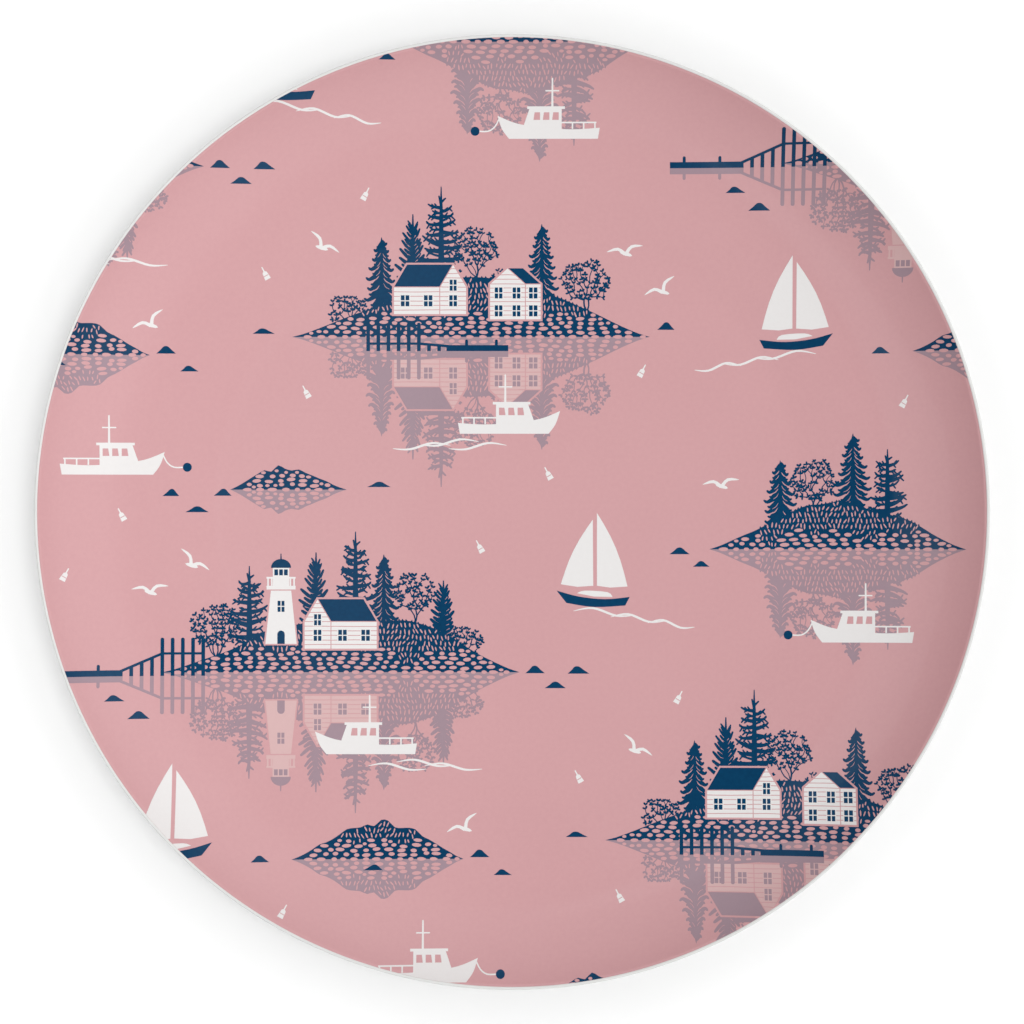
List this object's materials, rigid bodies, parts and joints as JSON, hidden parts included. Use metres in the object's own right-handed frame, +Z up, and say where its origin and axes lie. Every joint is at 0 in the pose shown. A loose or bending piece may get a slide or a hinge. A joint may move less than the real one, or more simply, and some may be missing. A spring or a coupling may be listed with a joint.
{
  "type": "souvenir plate",
  "caption": "Round coupe-shaped melamine souvenir plate with a full-face coastal print, a white rounded lip and a foot ring; it rests flat and holds food or hangs as decor.",
  "frame": {"origin": "centre of the foot ring's resting plane, on the plate's axis of revolution", "axes": "+Z up out of the eating surface, along the axis of revolution; +Y towards the top of the printed scene; +X towards its right"},
  "size_m": [0.254, 0.254, 0.0205],
  "materials": {
    "white_melamine": "glossy moulded melamine, white",
    "decor_pink": "printed decor ground, dusty pink",
    "clear_glaze": "clear gloss resin",
    "ink_navy": "navy ink under gloss resin",
    "ink_white": "warm white ink under gloss resin",
    "ink_mauve": "mauve reflection ink under gloss resin",
    "ink_blush": "pale blush reflection ink under gloss resin"
  },
  "bodies": {
    "root": {"plate_body": "white_melamine", "decor_foil": "decor_pink", "clear_glaze": "clear_glaze"}
  },
  "joints": []
}
